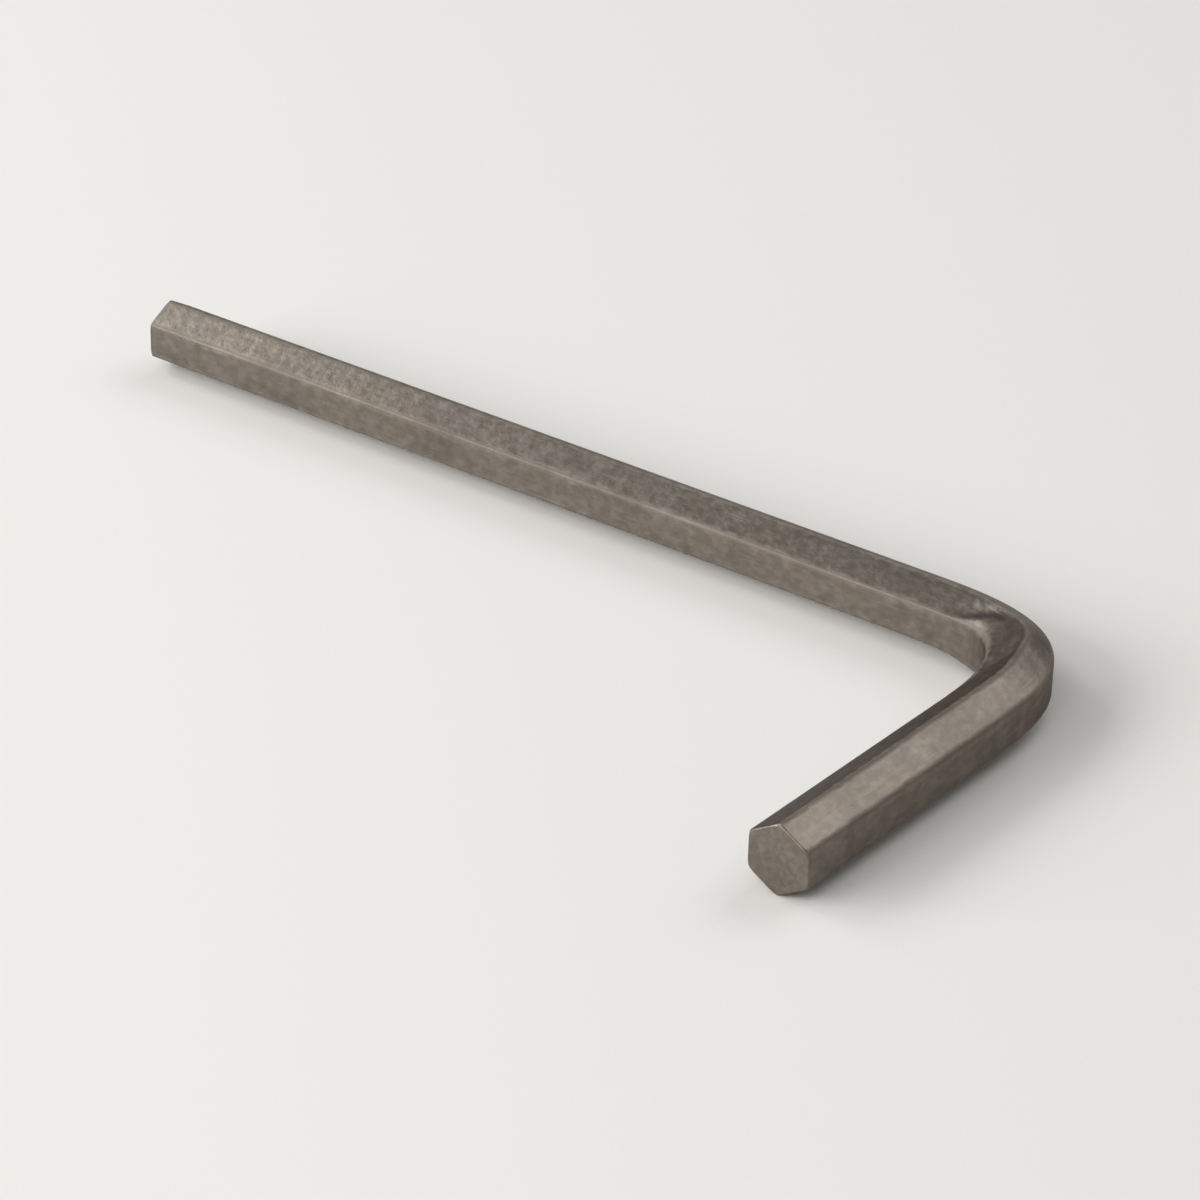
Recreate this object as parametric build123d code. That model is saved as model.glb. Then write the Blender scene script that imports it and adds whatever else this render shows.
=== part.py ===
from build123d import *
import math
import os

# Hex key for 4 mm socket screws: one piece of hexagonal steel bar, bent once into an L.
# It lies on its side, as it comes to rest on a bench: both arms are level, the long one
# along X and the short one along Y, and the bar stands on its lowest corner edges.
# Two flats of the bar face into and out of the bend, and two corners point up and down.
# The origin is on the bench, under the middle of the key's outline. Millimetres, +Z up.

# The bar
ACROSS_FLATS = 4.0
CORNER_RADIUS = 0.2         # the drawn bar's six long edges

# The two arms, each from its end face to the outer flat of the other
LONG_ARM = 74.0
SHORT_ARM = 31.5

# The bend: the curvature rises and falls smoothly along it, and is sharpest in the middle
BEND_LENGTH = 18.5          # of centreline that is not straight
BEND_ANGLE = math.pi / 2
BEND_STEPS = 400            # of centreline that are added up
BEND_SECTIONS = 11          # that the bend's surface passes through

# How the section gives way in the middle of the bend, as fractions of the bar
INNER_SPREAD = 0.25         # the inner flat is squeezed wider
OUTER_SPREAD = -0.05        # the outer flat is stretched narrower
FLAT_DRIFT = -0.048         # both flats move towards the inside of the bend
CORNER_DRIFT = 0.026        # the top and bottom corners move towards the outside

# The ends: the six corners are turned off, down to a circle a little over the flats
END_CIRCLE_RADIUS = 2.15
END_CHAMFER_ANGLE = math.radians(45)

CORNER_REACH = ACROSS_FLATS / math.sqrt(3)
ROUNDED_REACH = CORNER_REACH - CORNER_RADIUS * (2 / math.sqrt(3) - 1)


def hexagon_corners(give):
    """Six corners (outward, up) of the section, squeezed by 'give' from 0 to 1."""
    half = ACROSS_FLATS / 2
    outer = half + give * FLAT_DRIFT * ACROSS_FLATS
    inner = -half + give * FLAT_DRIFT * ACROSS_FLATS
    ridge = give * CORNER_DRIFT * ACROSS_FLATS
    outer_up = CORNER_REACH / 2 * (1 + give * OUTER_SPREAD)
    inner_up = CORNER_REACH / 2 * (1 + give * INNER_SPREAD)
    return [
        (ridge, CORNER_REACH),
        (inner, inner_up),
        (inner, -inner_up),
        (ridge, -CORNER_REACH),
        (outer, -outer_up),
        (outer, outer_up),
    ]


def section(give, plane):
    """The bar's section as a face on a plane whose X is outward and whose Y is up."""
    outline = make_face(Polyline(*hexagon_corners(give), close=True))
    return plane * fillet(outline.vertices(), CORNER_RADIUS)


def heading(along):
    """The angle turned by a fraction 'along' of the bend's length."""
    return BEND_ANGLE * (along - math.sin(2 * math.pi * along) / (2 * math.pi))


def bend_points():
    """The centreline from the long arm's end of the bend, one point for each step."""
    step = BEND_LENGTH / BEND_STEPS
    points = [(0.0, 0.0)]
    for index in range(BEND_STEPS):
        angle = heading((index + 0.5) / BEND_STEPS)
        x, y = points[-1]
        points.append((x + step * math.cos(angle), y - step * math.sin(angle)))
    return points


def plane_across(x, y, angle):
    """The plane across the bar at a point of its centreline, facing along the bar."""
    outward = (math.sin(angle), math.cos(angle), 0)
    forward = (math.cos(angle), -math.sin(angle), 0)
    return Plane(origin=(x, y, ROUNDED_REACH), x_dir=outward, z_dir=forward)


def end_ring(plane):
    """What is turned off the corners of an end face that lies on the plane."""
    reach = CORNER_REACH + 1
    depth = (reach - END_CIRCLE_RADIUS) / math.tan(END_CHAMFER_ANGLE)
    start = (END_CIRCLE_RADIUS, 0, 0)
    profile = make_face(Polyline(start, (reach, 0, 0), (reach, 0, -depth), close=True))
    return plane * revolve(profile, axis=Axis.Z)


def make_hex_key():
    points = bend_points()
    run_x, run_y = points[-1]

    # The long arm's centreline starts the bend here, and the short arm's takes over from it.
    start_x = LONG_ARM / 2 - ACROSS_FLATS / 2 - run_x
    start_y = SHORT_ARM / 2 - ACROSS_FLATS / 2
    long_straight = start_x + LONG_ARM / 2
    short_straight = start_y + run_y + SHORT_ARM / 2

    sections = []
    for number in range(BEND_SECTIONS):
        along = number / (BEND_SECTIONS - 1)
        give = math.sin(math.pi * along) ** 2
        x, y = points[round(along * BEND_STEPS)]
        plane = plane_across(start_x + x, start_y + y, heading(along))
        sections.append(section(give, plane))

    bend = loft(sections)
    long_bar = extrude(sections[0], amount=long_straight, dir=(-1, 0, 0))
    short_bar = extrude(sections[-1], amount=short_straight, dir=(0, -1, 0))
    key = bend + long_bar + short_bar

    long_end = Plane(
        origin=(-LONG_ARM / 2, start_y, ROUNDED_REACH),
        x_dir=(0, 1, 0),
        z_dir=(-1, 0, 0),
    )
    short_end = Plane(
        origin=(start_x + run_x, -SHORT_ARM / 2, ROUNDED_REACH),
        x_dir=(1, 0, 0),
        z_dir=(0, -1, 0),
    )
    key -= end_ring(long_end)
    key -= end_ring(short_end)
    return key


os.makedirs("parts", exist_ok=True)
hex_key = make_hex_key()
export_step(hex_key, "parts/hex_key.step")
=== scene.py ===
import bpy
import math
from mathutils import Matrix, Vector


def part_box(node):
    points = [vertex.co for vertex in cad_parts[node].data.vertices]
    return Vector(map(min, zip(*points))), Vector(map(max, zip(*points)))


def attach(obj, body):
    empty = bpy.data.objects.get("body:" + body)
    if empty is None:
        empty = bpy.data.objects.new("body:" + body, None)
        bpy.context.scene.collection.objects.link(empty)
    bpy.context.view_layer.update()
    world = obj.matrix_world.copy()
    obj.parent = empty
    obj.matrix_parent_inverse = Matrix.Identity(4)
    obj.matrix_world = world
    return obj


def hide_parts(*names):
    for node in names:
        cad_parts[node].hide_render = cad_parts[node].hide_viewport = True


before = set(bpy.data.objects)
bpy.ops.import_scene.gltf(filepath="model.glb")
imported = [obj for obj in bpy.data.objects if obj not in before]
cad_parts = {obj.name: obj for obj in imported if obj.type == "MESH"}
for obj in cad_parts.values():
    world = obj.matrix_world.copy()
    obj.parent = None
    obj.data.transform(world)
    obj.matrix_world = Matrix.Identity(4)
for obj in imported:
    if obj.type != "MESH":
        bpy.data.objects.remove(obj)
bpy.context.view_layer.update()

# The key is one length of cold-drawn hexagonal tool steel, 4 mm across flats, bent cold to
# an L. The section gives way where the bend is sharpest, and the corners are turned off at
# both ends, so that either end enters a screw's socket.
MM = 0.001
ACROSS_FLATS = 4.0 * MM
CORNER_RADIUS = 0.2 * MM
BEND_LENGTH = 18.5 * MM
END_CIRCLE_RADIUS = 2.15 * MM
END_CHAMFER_EASE = 0.05 * MM
END_EDGE_BREAK = 0.09 * MM

# What the middle of the bend does to the section: the inner flat grows and the outer one
# shrinks by a share of its width, and flats and corners drift outward or inward.
INNER_SPREAD = 0.25
OUTER_SPREAD = -0.05
FLAT_DRIFT = -0.048 * ACROSS_FLATS
CORNER_DRIFT = 0.026 * ACROSS_FLATS
SADDLE_DRIFT = -0.09 * ACROSS_FLATS
CREASE_DRIFT = 0.15 * ACROSS_FLATS
CREASE_SHARPNESS = 8.0

# The squeezed metal inside the bend: a wedge that stands up, and a valley along its edge.
# The two shares are of a facet's width, on each side of the line where the wedge begins.
WEDGE_HEIGHT = 0.12 * MM
WEDGE_LENGTH_SHARE = 0.62
WEDGE_SLOPE_SHARE = 0.3
VALLEY_DEPTH = 0.18 * MM
VALLEY_SLOPE_SHARE = 0.75

# How fine the mesh is. Rings crowd toward the two ends, where the corners are turned off.
RINGS = 420
END_CROWDING = 0.98
CORNER_POINTS = 4
SIDE_CUTS = 5

# How far such a bend carries the middle line along each arm, for a bend of length 1.
REACH_STEPS = 400
parts_of_bend = [(step + 0.5) / REACH_STEPS for step in range(REACH_STEPS)]
turns = [math.pi / 2 * (part - math.sin(2 * math.pi * part) / (2 * math.pi)) for part in parts_of_bend]
bend_reach = sum(math.cos(turn) for turn in turns) / REACH_STEPS

key_low, key_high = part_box("hex_key")
arm_less = ACROSS_FLATS / 2 + BEND_LENGTH * bend_reach
long_straight = key_high[0] - key_low[0] - arm_less
short_straight = key_high[1] - key_low[1] - arm_less
bar_length = long_straight + BEND_LENGTH + short_straight
bar_start = (key_low[0], key_high[1] - ACROSS_FLATS / 2, (key_low[2] + key_high[2]) / 2)


def add_node(tree, kind, settings=None, inputs=None):
    """Add a node. An input takes a value, an output, or a node, which means its first output."""
    node = tree.nodes.new(kind)
    for name, value in (settings or {}).items():
        setattr(node, name, value)
    for name, value in (inputs or {}).items():
        if isinstance(value, bpy.types.Node):
            value = value.outputs[0]
        if isinstance(value, bpy.types.NodeSocket):
            tree.links.new(value, node.inputs[name])
        else:
            node.inputs[name].default_value = value
    return node


SIZES = {
    "Across Flats": ACROSS_FLATS,
    "Corner Radius": CORNER_RADIUS,
    "Bar Length": bar_length,
    "Long Straight": long_straight,
    "Bend Length": BEND_LENGTH,
    "Inner Spread": INNER_SPREAD,
    "Outer Spread": OUTER_SPREAD,
    "Flat Drift": FLAT_DRIFT,
    "Corner Drift": CORNER_DRIFT,
    "Saddle Drift": SADDLE_DRIFT,
    "Crease Drift": CREASE_DRIFT,
    "Wedge Height": WEDGE_HEIGHT,
    "Valley Depth": VALLEY_DEPTH,
    "End Circle Radius": END_CIRCLE_RADIUS,
    "End Edge Break": END_EDGE_BREAK,
}
bar = bpy.data.node_groups.new("bent hexagonal bar", "GeometryNodeTree")
bar.interface.new_socket("Geometry", in_out="INPUT", socket_type="NodeSocketGeometry")
bar.interface.new_socket("Geometry", in_out="OUTPUT", socket_type="NodeSocketGeometry")
for name in SIZES:
    bar.interface.new_socket(name, in_out="INPUT", socket_type="NodeSocketFloat")
bar.interface.new_socket("Rings", in_out="INPUT", socket_type="NodeSocketInt")
bar.interface.new_socket("Start", in_out="INPUT", socket_type="NodeSocketVector")
bar.interface.new_socket("Steel", in_out="INPUT", socket_type="NodeSocketMaterial")
given = add_node(bar, "NodeGroupInput").outputs


def station(ring, last_ring):
    """The distance of a ring from the long arm's end face."""
    part = add_node(bar, "ShaderNodeMath", {"operation": "DIVIDE"}, {0: ring, 1: last_ring})
    angle = add_node(bar, "ShaderNodeMath", {"operation": "MULTIPLY"}, {0: part, 1: 2 * math.pi})
    wave = add_node(bar, "ShaderNodeMath", {"operation": "SINE"}, {0: angle})
    crowding = {0: wave, 1: -END_CROWDING / (2 * math.pi), 2: part}
    crowded = add_node(bar, "ShaderNodeMath", {"operation": "MULTIPLY_ADD"}, crowding)
    return add_node(bar, "ShaderNodeMath", {"operation": "MULTIPLY"}, {0: crowded, 1: given["Bar Length"]})


def part_of_bend(distance):
    """0 on the long arm, 1 on the short arm, and between them in the bend."""
    into = {0: distance, 1: given["Long Straight"]}
    into = add_node(bar, "ShaderNodeMath", {"operation": "SUBTRACT"}, into)
    into = {0: into, 1: given["Bend Length"]}
    return add_node(bar, "ShaderNodeMath", {"operation": "DIVIDE", "use_clamp": True}, into)


def heading(part):
    """The angle that the bar has turned. Its curvature rises and falls as a smooth wave."""
    angle = add_node(bar, "ShaderNodeMath", {"operation": "MULTIPLY"}, {0: part, 1: 2 * math.pi})
    wave = add_node(bar, "ShaderNodeMath", {"operation": "SINE"}, {0: angle})
    easing = {0: wave, 1: -1 / (2 * math.pi), 2: part}
    eased = add_node(bar, "ShaderNodeMath", {"operation": "MULTIPLY_ADD"}, easing)
    return add_node(bar, "ShaderNodeMath", {"operation": "MULTIPLY"}, {0: eased, 1: math.pi / 2})


# The middle line is walked in short steps, each along the heading at its own middle.
ring = add_node(bar, "GeometryNodeInputIndex")
last_ring = add_node(bar, "ShaderNodeMath", {"operation": "SUBTRACT"}, {0: given["Rings"], 1: 1.0})
next_ring = add_node(bar, "ShaderNodeMath", {"operation": "ADD"}, {0: ring, 1: 1.0})
here = station(ring, last_ring)
there = station(next_ring, last_ring)
both = add_node(bar, "ShaderNodeMath", {"operation": "ADD"}, {0: here, 1: there})
midway = add_node(bar, "ShaderNodeMath", {"operation": "MULTIPLY"}, {0: both, 1: 0.5})
midway_turn = heading(part_of_bend(midway))
ahead = add_node(bar, "ShaderNodeMath", {"operation": "COSINE"}, {0: midway_turn})
aside = add_node(bar, "ShaderNodeMath", {"operation": "SINE"}, {0: midway_turn})
step = add_node(bar, "ShaderNodeMath", {"operation": "SUBTRACT"}, {0: there, 1: here})
back_step = add_node(bar, "ShaderNodeMath", {"operation": "SUBTRACT"}, {0: here, 1: there})
step_x = add_node(bar, "ShaderNodeMath", {"operation": "MULTIPLY"}, {0: step, 1: ahead})
step_y = add_node(bar, "ShaderNodeMath", {"operation": "MULTIPLY"}, {0: back_step, 1: aside})
stride = add_node(bar, "ShaderNodeCombineXYZ", inputs={"X": step_x, "Y": step_y})
walked = add_node(bar, "GeometryNodeAccumulateField", {"data_type": "FLOAT_VECTOR"}, {0: stride})
centre_parts = {0: walked.outputs["Trailing"], 1: given["Start"]}
centre = add_node(bar, "ShaderNodeVectorMath", {"operation": "ADD"}, centre_parts)

# What each ring passes on: which way is outward, how far the section gives way, which is
# all in the middle of the bend, and how near the ring is to an end.
bend_part = part_of_bend(here)
turned = heading(bend_part)
outward_x = add_node(bar, "ShaderNodeMath", {"operation": "SINE"}, {0: turned})
outward_y = add_node(bar, "ShaderNodeMath", {"operation": "COSINE"}, {0: turned})
outward = add_node(bar, "ShaderNodeCombineXYZ", inputs={"X": outward_x, "Y": outward_y})
arch = add_node(bar, "ShaderNodeMath", {"operation": "MULTIPLY"}, {0: bend_part, 1: math.pi})
arch = add_node(bar, "ShaderNodeMath", {"operation": "SINE"}, {0: arch})
give = add_node(bar, "ShaderNodeMath", {"operation": "POWER"}, {0: arch, 1: 2.0})
to_far_end = add_node(bar, "ShaderNodeMath", {"operation": "SUBTRACT"}, {0: given["Bar Length"], 1: here})
from_end = add_node(bar, "ShaderNodeMath", {"operation": "MINIMUM"}, {0: here, 1: to_far_end})

path = add_node(bar, "GeometryNodeMeshLine", inputs={"Count": given["Rings"]})
path = add_node(bar, "GeometryNodeSetPosition", inputs={"Geometry": path, "Position": centre})
for name, kind, value in (
    ("centre", "FLOAT_VECTOR", centre),
    ("outward", "FLOAT_VECTOR", outward),
    ("give", "FLOAT", give),
    ("from_end", "FLOAT", from_end),
    ("along", "FLOAT", here),
):
    kept = {"Geometry": path, "Name": name, "Value": value}
    path = add_node(bar, "GeometryNodeStoreNamedAttribute", {"data_type": kind, "domain": "POINT"}, kept)
path = add_node(bar, "GeometryNodeMeshToCurve", inputs={"Mesh": path})

# The drawn section: a hexagon that stands on a corner, with small rounded corners.
reach = {0: given["Across Flats"], 1: math.sqrt(3)}
reach = add_node(bar, "ShaderNodeMath", {"operation": "DIVIDE"}, reach)
circle = {"Resolution": 6, "Radius": reach}
hexagon = add_node(bar, "GeometryNodeCurvePrimitiveCircle", {"mode": "RADIUS"}, circle)
stood = {"Geometry": hexagon, "Rotation": (0.0, 0.0, math.pi / 2)}
hexagon = add_node(bar, "GeometryNodeTransform", inputs=stood)
rounding = {"Curve": hexagon, "Count": CORNER_POINTS, "Radius": given["Corner Radius"]}
hexagon = add_node(bar, "GeometryNodeFilletCurve", {"mode": "POLY"}, rounding)
hexagon = add_node(bar, "GeometryNodeSubdivideCurve", inputs={"Curve": hexagon, "Cuts": SIDE_CUTS})
kept = {"Geometry": hexagon, "Name": "section", "Value": add_node(bar, "GeometryNodeInputPosition")}
on_points = {"data_type": "FLOAT_VECTOR", "domain": "POINT"}
hexagon = add_node(bar, "GeometryNodeStoreNamedAttribute", on_points, kept)
drawn = {"Curve": path, "Profile Curve": hexagon, "Fill Caps": True}
solid = add_node(bar, "GeometryNodeCurveToMesh", inputs=drawn)

carried = {
    name: add_node(bar, "GeometryNodeInputNamedAttribute", {"data_type": kind}, {"Name": name})
    for name, kind in (
        ("section", "FLOAT_VECTOR"),
        ("centre", "FLOAT_VECTOR"),
        ("outward", "FLOAT_VECTOR"),
        ("give", "FLOAT"),
        ("from_end", "FLOAT"),
    )
}
give = carried["give"]
from_end = carried["from_end"]
section = add_node(bar, "ShaderNodeSeparateXYZ", inputs={"Vector": carried["section"]}).outputs

# Where the bar is bent, its inside is squeezed wider and its outside is drawn narrower.
half_width = add_node(bar, "ShaderNodeMath", {"operation": "MULTIPLY"}, {0: given["Across Flats"], 1: 0.5})
side = add_node(bar, "ShaderNodeMath", {"operation": "DIVIDE"}, {0: section["X"], 1: half_width})
off_ridge = add_node(bar, "ShaderNodeMath", {"operation": "ABSOLUTE"}, {0: side})
is_outer = add_node(bar, "ShaderNodeMath", {"operation": "GREATER_THAN"}, {0: side, 1: 0.0})
spreads = {0: is_outer, 2: given["Inner Spread"], 3: given["Outer Spread"]}
spread = add_node(bar, "ShaderNodeMix", {"data_type": "FLOAT"}, spreads)
drifts = {0: off_ridge, 2: given["Corner Drift"], 3: given["Flat Drift"]}
drift = add_node(bar, "ShaderNodeMix", {"data_type": "FLOAT"}, drifts)
spreading = add_node(bar, "ShaderNodeMath", {"operation": "MULTIPLY"}, {0: give, 1: off_ridge})
widened = {0: spreading, 1: spread, 2: 1.0}
widened = add_node(bar, "ShaderNodeMath", {"operation": "MULTIPLY_ADD"}, widened)

# The ridges along the top and bottom sag into a saddle and then fold to a short crease.
crease = add_node(bar, "ShaderNodeMath", {"operation": "POWER"}, {0: give, 1: CREASE_SHARPNESS})
crease = {0: crease, 1: given["Crease Drift"]}
crease = add_node(bar, "ShaderNodeMath", {"operation": "MULTIPLY"}, crease)
saddle = add_node(bar, "ShaderNodeMath", {"operation": "POWER"}, {0: give, 1: 2.0})
saddle = {0: saddle, 1: given["Saddle Drift"], 2: crease}
saddle = add_node(bar, "ShaderNodeMath", {"operation": "MULTIPLY_ADD"}, saddle)
on_ridge = {0: 1.0, 1: off_ridge}
on_ridge = add_node(bar, "ShaderNodeMath", {"operation": "SUBTRACT", "use_clamp": True}, on_ridge)
ridge_move = add_node(bar, "ShaderNodeMath", {"operation": "MULTIPLY"}, {0: saddle, 1: on_ridge})

# The wedge starts on a line from the inner corner, where the bend begins, to the ridge at
# the bend's middle. Past the line it stands up, and before the line the valley sinks.
FLAT_FADE = 6.0
RIDGE_FADE = 3.0
inside = {0: side, 1: -1.0}
inside = add_node(bar, "ShaderNodeMath", {"operation": "MULTIPLY", "use_clamp": True}, inside)
short_of_middle = add_node(bar, "ShaderNodeMath", {"operation": "SUBTRACT"}, {0: 1.0, 1: give})
short_of_middle = {0: short_of_middle, 1: WEDGE_LENGTH_SHARE}
short_of_middle = add_node(bar, "ShaderNodeMath", {"operation": "DIVIDE"}, short_of_middle)
over_line = {0: inside, 1: short_of_middle}
over_line = add_node(bar, "ShaderNodeMath", {"operation": "SUBTRACT"}, over_line)
up_slope = {"Value": over_line, "From Min": 0.0, "From Max": WEDGE_SLOPE_SHARE}
up_slope = add_node(bar, "ShaderNodeMapRange", {"interpolation_type": "SMOOTHSTEP"}, up_slope)
down_slope = {"Value": over_line, "From Min": -VALLEY_SLOPE_SHARE, "From Max": 0.0}
down_slope = add_node(bar, "ShaderNodeMapRange", {"interpolation_type": "SMOOTHSTEP"}, down_slope)
rise = {0: given["Wedge Height"], 1: given["Valley Depth"]}
rise = add_node(bar, "ShaderNodeMath", {"operation": "ADD"}, rise)
risen = add_node(bar, "ShaderNodeMath", {"operation": "MULTIPLY"}, {0: up_slope, 1: rise})
sunk = {0: down_slope, 1: given["Valley Depth"]}
sunk = add_node(bar, "ShaderNodeMath", {"operation": "MULTIPLY"}, sunk)
relief = add_node(bar, "ShaderNodeMath", {"operation": "SUBTRACT"}, {0: risen, 1: sunk})
near_flat = add_node(bar, "ShaderNodeMath", {"operation": "POWER"}, {0: inside, 1: FLAT_FADE})
off_flat = add_node(bar, "ShaderNodeMath", {"operation": "SUBTRACT"}, {0: 1.0, 1: near_flat})
below_ridge = {0: inside, 1: RIDGE_FADE}
below_ridge = add_node(bar, "ShaderNodeMath", {"operation": "MULTIPLY", "use_clamp": True}, below_ridge)
fade = add_node(bar, "ShaderNodeMath", {"operation": "MULTIPLY"}, {0: off_flat, 1: below_ridge})
relief = add_node(bar, "ShaderNodeMath", {"operation": "MULTIPLY"}, {0: relief, 1: fade})
upper = add_node(bar, "ShaderNodeMath", {"operation": "SIGN"}, {0: section["Y"]})
relief = add_node(bar, "ShaderNodeMath", {"operation": "MULTIPLY"}, {0: relief, 1: upper})

# The ends: a quarter-round break along the flats' edges, then a chamfer turned round the
# corners, which takes every point in to the cone that the turning tool follows.
edge_break = given["End Edge Break"]
broken = add_node(bar, "ShaderNodeMath", {"operation": "SUBTRACT"}, {0: edge_break, 1: from_end})
broken = add_node(bar, "ShaderNodeMath", {"operation": "MAXIMUM"}, {0: broken, 1: 0.0})
broken = add_node(bar, "ShaderNodeMath", {"operation": "POWER"}, {0: broken, 1: 2.0})
chord = add_node(bar, "ShaderNodeMath", {"operation": "POWER"}, {0: edge_break, 1: 2.0})
chord = add_node(bar, "ShaderNodeMath", {"operation": "SUBTRACT"}, {0: chord, 1: broken})
chord = add_node(bar, "ShaderNodeMath", {"operation": "SQRT"}, {0: chord})
inset = add_node(bar, "ShaderNodeMath", {"operation": "SUBTRACT"}, {0: edge_break, 1: chord})
inset = add_node(bar, "ShaderNodeMath", {"operation": "DIVIDE"}, {0: inset, 1: half_width})
shrink = add_node(bar, "ShaderNodeMath", {"operation": "SUBTRACT"}, {0: 1.0, 1: inset})
radius = add_node(bar, "ShaderNodeVectorMath", {"operation": "LENGTH"}, {0: carried["section"]})
radius = radius.outputs["Value"]
shrunk = add_node(bar, "ShaderNodeMath", {"operation": "MULTIPLY"}, {0: radius, 1: shrink})
cone = {0: given["End Circle Radius"], 1: from_end}
cone = add_node(bar, "ShaderNodeMath", {"operation": "ADD"}, cone)
turned_off = {0: shrunk, 1: cone, 2: END_CHAMFER_EASE}
turned_off = add_node(bar, "ShaderNodeMath", {"operation": "SMOOTH_MIN"}, turned_off)
scale = add_node(bar, "ShaderNodeMath", {"operation": "DIVIDE"}, {0: turned_off, 1: radius})

drifted = {0: give, 1: drift, 2: section["X"]}
drifted = add_node(bar, "ShaderNodeMath", {"operation": "MULTIPLY_ADD"}, drifted)
out_now = add_node(bar, "ShaderNodeMath", {"operation": "ADD"}, {0: drifted, 1: ridge_move})
out_now = add_node(bar, "ShaderNodeMath", {"operation": "MULTIPLY"}, {0: out_now, 1: scale})
up_now = {0: section["Y"], 1: widened, 2: relief}
up_now = add_node(bar, "ShaderNodeMath", {"operation": "MULTIPLY_ADD"}, up_now)
up_now = add_node(bar, "ShaderNodeMath", {"operation": "MULTIPLY"}, {0: up_now, 1: scale})
sideways = {0: carried["outward"], "Scale": out_now}
sideways = add_node(bar, "ShaderNodeVectorMath", {"operation": "SCALE"}, sideways)
upward = add_node(bar, "ShaderNodeCombineXYZ", inputs={"Z": up_now})
place = add_node(bar, "ShaderNodeVectorMath", {"operation": "ADD"}, {0: sideways, 1: upward})
place = {0: place, 1: carried["centre"]}
place = add_node(bar, "ShaderNodeVectorMath", {"operation": "ADD"}, place)
solid = add_node(bar, "GeometryNodeSetPosition", inputs={"Geometry": solid, "Position": place})
solid = add_node(bar, "GeometryNodeSetShadeSmooth", inputs={"Geometry": solid})
solid = add_node(bar, "GeometryNodeRealizeInstances", inputs={"Geometry": solid})
solid = add_node(bar, "GeometryNodeSetMaterial", inputs={"Geometry": solid, "Material": given["Steel"]})
add_node(bar, "NodeGroupOutput", inputs={"Geometry": solid})

# The steel is hardened and left bare. It is satin: a warm grey with soft darker clouds and
# small brown stains from the heat, a fine matt grain, faint lines along the bar from the
# drawing die, a few handling scratches, and edges that are rubbed paler and more matt.
STEEL_DARK = "#716961"
STEEL_MIDDLE = "#8A8278"
STEEL_LIGHT = "#99918A"
STEEL_BROWN = "#8C7F70"
STEEL_RUBBED = "#A69E93"
STEEL_GRAZING = (0.45, 0.45, 0.45, 1.0)
SMOOTH_STEEL = 0.34
MATT_STEEL = 0.46
EDGE_MATTING = 0.32
RELIEF_DEPTH = 0.02 * MM
EDGE_STARTS = 2.165
EDGE_ENDS = 2.27
EDGE_WANDER = 0.05
DIE_LINE_WIDTH = 0.11
DIE_LINE_LENGTH = 9.0
SCRATCH_WIDTH = 0.06
SCRATCH_LENGTH = 1.9

# A layer's spots: their size in mm, how far they are drawn out along the bar, how fine their
# detail goes, and where their pattern starts and how it is turned.
NO_TURN = (0.0, 0.0, 0.0)
DIE_STRETCH = DIE_LINE_WIDTH / DIE_LINE_LENGTH
SCRATCH_STRETCH = SCRATCH_WIDTH / SCRATCH_LENGTH
SPOT_SHARE = 0.5
LAYERS = (
    ("clouds", 2.6, 1.0, 3.0, 0.0, NO_TURN),
    ("blotches", 0.42, 1.0, 3.0, 7.0, NO_TURN),
    ("stains", 1.4, 1.0, 3.0, 31.0, NO_TURN),
    ("grain", 0.2, 0.6, 4.0, 3.0, NO_TURN),
    ("die lines", DIE_LINE_WIDTH, DIE_STRETCH, 2.0, 11.0, NO_TURN),
    ("scratches one way", SCRATCH_WIDTH, SCRATCH_STRETCH, 1.0, 17.0, (0.5, 0.35, 0.45)),
    ("scratches another", SCRATCH_WIDTH, SCRATCH_STRETCH, 1.0, 23.0, (-0.3, -0.5, -0.8)),
)


def linear(hex_colour):
    """An sRGB hex colour as linear red, green, blue and alpha."""
    channels = [int(hex_colour[i:i + 2], 16) / 255 for i in (1, 3, 5)]
    return [c / 12.92 if c <= 0.04045 else ((c + 0.055) / 1.055) ** 2.4 for c in channels] + [1.0]


steel = bpy.data.materials.new("satin drawn tool steel")
steel.use_nodes = True
finish = steel.node_tree
finish.nodes.clear()
on_bar = add_node(finish, "ShaderNodeAttribute", {"attribute_name": "bar_mm"}).outputs["Vector"]
noises = {}
for name, size, stretch, detail, start, turn in LAYERS:
    laid = {"Vector": on_bar, "Location": (start, start, start), "Rotation": turn}
    laid["Scale"] = (stretch, 1.0, 1.0)
    laid = add_node(finish, "ShaderNodeMapping", inputs=laid)
    spots = {"Vector": laid, "Scale": SPOT_SHARE / size, "Detail": detail}
    noises[name] = add_node(finish, "ShaderNodeTexNoise", inputs=spots)

either_way = {0: noises["scratches one way"], 1: noises["scratches another"]}
either_way = add_node(finish, "ShaderNodeMath", {"operation": "MAXIMUM"}, either_way)
shown = {}
for name, noise, none_below, full_above in (
    ("clouds", noises["clouds"], 0.25, 0.7),
    ("blotches", noises["blotches"], 0.35, 0.68),
    ("stains", noises["stains"], 0.5, 0.75),
    ("grain", noises["grain"], 0.40, 0.62),
    ("die lines", noises["die lines"], 0.52, 0.7),
    ("scratches", either_way, 0.70, 0.76),
):
    stretched = {"Value": noise, "From Min": none_below, "From Max": full_above}
    shown[name] = add_node(finish, "ShaderNodeMapRange", inputs=stretched)

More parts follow.
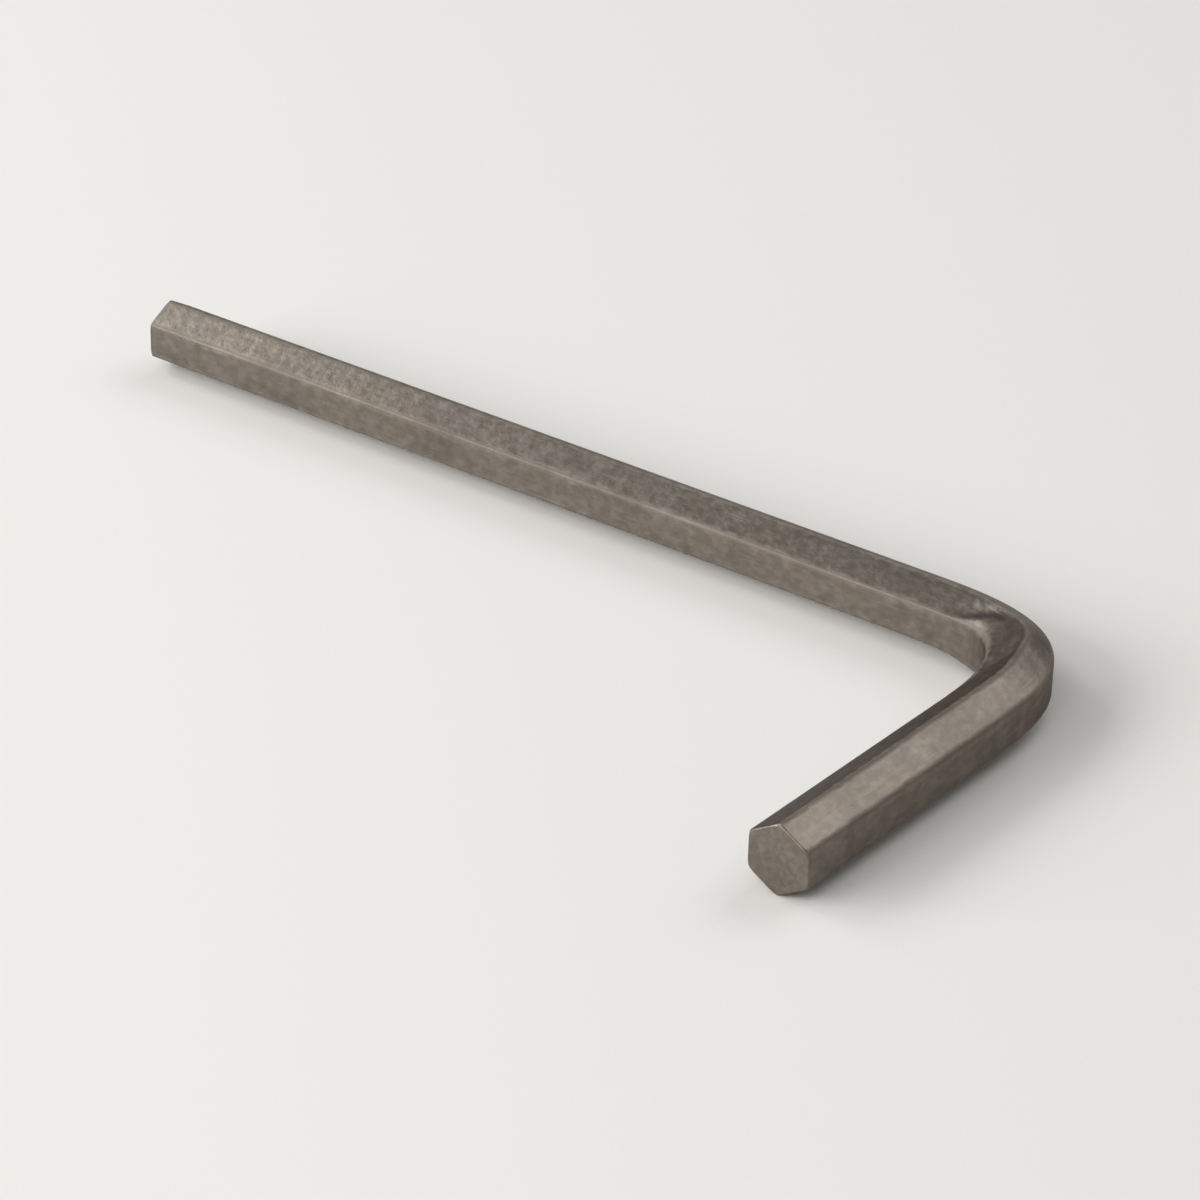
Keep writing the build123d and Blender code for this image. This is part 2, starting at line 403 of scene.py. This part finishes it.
# Distance from the bar's middle line tells the edges from the flats, and the rubbed strip's
# border wanders a little with the blotches.
across = {0: on_bar, 1: (0.0, 1.0, 1.0)}
across = add_node(finish, "ShaderNodeVectorMath", {"operation": "MULTIPLY"}, across)
from_middle = add_node(finish, "ShaderNodeVectorMath", {"operation": "LENGTH"}, {0: across})
wander = add_node(finish, "ShaderNodeMath", {"operation": "SUBTRACT"}, {0: shown["blotches"], 1: 0.5})
wander = {0: wander, 1: EDGE_WANDER, 2: from_middle.outputs["Value"]}
wander = add_node(finish, "ShaderNodeMath", {"operation": "MULTIPLY_ADD"}, wander)
rubbed = {"Value": wander, "From Min": EDGE_STARTS, "From Max": EDGE_ENDS}
shown["rubbed edges"] = add_node(finish, "ShaderNodeMapRange", inputs=rubbed)

tone = linear(STEEL_DARK)
for name, strength, colour in (
    ("clouds", 1.0, STEEL_MIDDLE),
    ("blotches", 0.6, STEEL_LIGHT),
    ("stains", 0.5, STEEL_BROWN),
    ("grain", 0.5, STEEL_DARK),
    ("die lines", 0.12, STEEL_LIGHT),
    ("scratches", 0.3, STEEL_RUBBED),
    ("rubbed edges", 0.1, STEEL_RUBBED),
):
    share = {0: shown[name], 1: strength}
    share = add_node(finish, "ShaderNodeMath", {"operation": "MULTIPLY"}, share)
    laid_over = {"Factor": share, 6: tone, 7: linear(colour)}
    tone = add_node(finish, "ShaderNodeMix", {"data_type": "RGBA"}, laid_over).outputs[2]

# Pale cloud and coarse grain are smoother, and rubbed edges are more matt.
cloud_part = add_node(finish, "ShaderNodeMath", {"operation": "MULTIPLY"}, {0: shown["clouds"], 1: 0.6})
polish = {0: noises["grain"], 1: 0.8, 2: cloud_part}
polish = add_node(finish, "ShaderNodeMath", {"operation": "MULTIPLY_ADD"}, polish)
gloss_range = {"Value": polish, "From Min": 0.2, "From Max": 1.2}
gloss_range.update({"To Min": MATT_STEEL, "To Max": SMOOTH_STEEL})
roughness = add_node(finish, "ShaderNodeMapRange", inputs=gloss_range)
roughness = {0: shown["rubbed edges"], 1: EDGE_MATTING, 2: roughness}
roughness = add_node(finish, "ShaderNodeMath", {"operation": "MULTIPLY_ADD"}, roughness)

height = 0.0
for layer, share in (
    (noises["grain"], 0.8),
    (noises["die lines"], 0.12),
    (shown["blotches"], 0.5),
    (shown["scratches"], -0.12),
):
    height = {0: layer, 1: share, 2: height}
    height = add_node(finish, "ShaderNodeMath", {"operation": "MULTIPLY_ADD"}, height)
bump = {"Strength": 1.0, "Distance": RELIEF_DEPTH, "Height": height}
bump = add_node(finish, "ShaderNodeBump", inputs=bump)
shader = add_node(finish, "ShaderNodeBsdfPrincipled", inputs={
    "Base Color": tone,
    "Metallic": 1.0,
    "Specular Tint": STEEL_GRAZING,
    "Roughness": roughness,
    "Normal": bump,
})
add_node(finish, "ShaderNodeOutputMaterial", inputs={"Surface": shader})

maker = bpy.data.objects.new("bar maker", bpy.data.meshes.new("bar seed"))
bpy.context.collection.objects.link(maker)
grow = maker.modifiers.new("bar", "NODES")
grow.node_group = bar
sockets = {item.name: item.identifier for item in bar.interface.items_tree if item.in_out == "INPUT"}
for name, value in SIZES.items():
    grow[sockets[name]] = value
grow[sockets["Rings"]] = RINGS
grow[sockets["Start"]] = bar_start
grow[sockets["Steel"]] = steel
grown = maker.evaluated_get(bpy.context.evaluated_depsgraph_get())
key_mesh = bpy.data.meshes.new_from_object(grown)
bpy.data.objects.remove(maker)
hex_key = bpy.data.objects.new("hex_key_bar", key_mesh)
bpy.context.collection.objects.link(hex_key)

# Each point keeps its place on the bar as it was before bending, in mm, for the finish.
places = key_mesh.attributes.new("bar_mm", "FLOAT_VECTOR", "POINT")
alongs = [item.value for item in key_mesh.attributes["along"].data]
sections = [item.vector.copy() for item in key_mesh.attributes["section"].data]
for item, along, section in zip(places.data, alongs, sections):
    item.vector = (along / MM, section.x / MM, section.y / MM)

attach(hex_key, "root")
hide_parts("hex_key")

# The floor is a plain pale sheet of paper that the key lies on.
# It is not part of the key.
FLOOR_SIZE = 1.6
FLOOR_COLOUR = "#ECEAE7"
FLOOR_ROUGHNESS = 0.9
corner_signs = ((-1, -1), (1, -1), (1, 1), (-1, 1))
floor_corners = [(x * FLOOR_SIZE / 2, y * FLOOR_SIZE / 2, 0) for x, y in corner_signs]
floor_mesh = bpy.data.meshes.new("floor")
floor_mesh.from_pydata(floor_corners, [], [(0, 1, 2, 3)])
floor = bpy.data.objects.new("floor", floor_mesh)
bpy.context.collection.objects.link(floor)
paper = bpy.data.materials.new("pale paper")
paper.use_nodes = True
paper_shader = paper.node_tree.nodes["Principled BSDF"]
paper_shader.inputs["Base Color"].default_value = linear(FLOOR_COLOUR)
paper_shader.inputs["Roughness"].default_value = FLOOR_ROUGHNESS
floor_mesh.materials.append(paper)

# The light is a dim pale room with four softboxes: one high at the back, one high in front,
# a small one on the left that the long arm's top facet catches, and a long low one in front.
ROOM_COLOUR = "#E6E6E4"
ROOM_STRENGTH = 0.35
SOFTBOX_DISTANCE = 0.6
SOFTBOXES = (
    ("back softbox", (0.14, 0.72, 0.68), 0.5, 0.36, 0.85),
    ("top softbox", (0.2, -0.66, 0.68), 0.3, 0.2, 0.5),
    ("left softbox", (-0.8, -0.1, 0.58), 0.3, 0.25, 1.0),
    ("front softbox", (-0.5, -0.8, 0.42), 0.6, 0.25, 3.4),
)
world = bpy.data.worlds.new("pale room")
bpy.context.scene.world = world
world.use_nodes = True
room = world.node_tree.nodes["Background"]
room.inputs["Color"].default_value = linear(ROOM_COLOUR)
room.inputs["Strength"].default_value = ROOM_STRENGTH
for name, toward, width, height, power in SOFTBOXES:
    lamp = bpy.data.lights.new(name, "AREA")
    lamp.shape = "RECTANGLE"
    lamp.size = width
    lamp.size_y = height
    lamp.energy = power
    holder = bpy.data.objects.new(name, lamp)
    way = Vector(toward).normalized()
    holder.location = way * SOFTBOX_DISTANCE
    holder.rotation_euler = (-way).to_track_quat("-Z", "Y").to_euler()
    bpy.context.collection.objects.link(holder)

# The camera has a long lens. It stands in front of the short arm, a little to its right, and
# looks down on the bench.
CAMERA_AZIMUTH = math.radians(37.1)
CAMERA_HEIGHT_ANGLE = math.radians(28.13)
CAMERA_ROLL = math.radians(1.34)
CAMERA_DISTANCE = 259.3 * MM
CAMERA_AIM = Vector((9.25, 1.78, 2.28)) * MM
CAMERA_LENS = 128.85
CAMERA_SENSOR = 36.0
CAMERA_NEAREST = 10 * MM
camera_data = bpy.data.cameras.new("camera")
camera_data.lens = CAMERA_LENS
camera_data.sensor_width = CAMERA_SENSOR
camera_data.clip_start = CAMERA_NEAREST
camera = bpy.data.objects.new("camera", camera_data)
back = Vector((
    math.sin(CAMERA_AZIMUTH) * math.cos(CAMERA_HEIGHT_ANGLE),
    -math.cos(CAMERA_AZIMUTH) * math.cos(CAMERA_HEIGHT_ANGLE),
    math.sin(CAMERA_HEIGHT_ANGLE),
))
camera.location = CAMERA_AIM + back * CAMERA_DISTANCE
facing = (-back).to_track_quat("-Z", "Y").to_matrix().to_4x4()
camera.rotation_euler = (facing @ Matrix.Rotation(CAMERA_ROLL, 4, "Z")).to_euler()
bpy.context.collection.objects.link(camera)
bpy.context.scene.camera = camera
bpy.context.scene.view_settings.view_transform = "Standard"
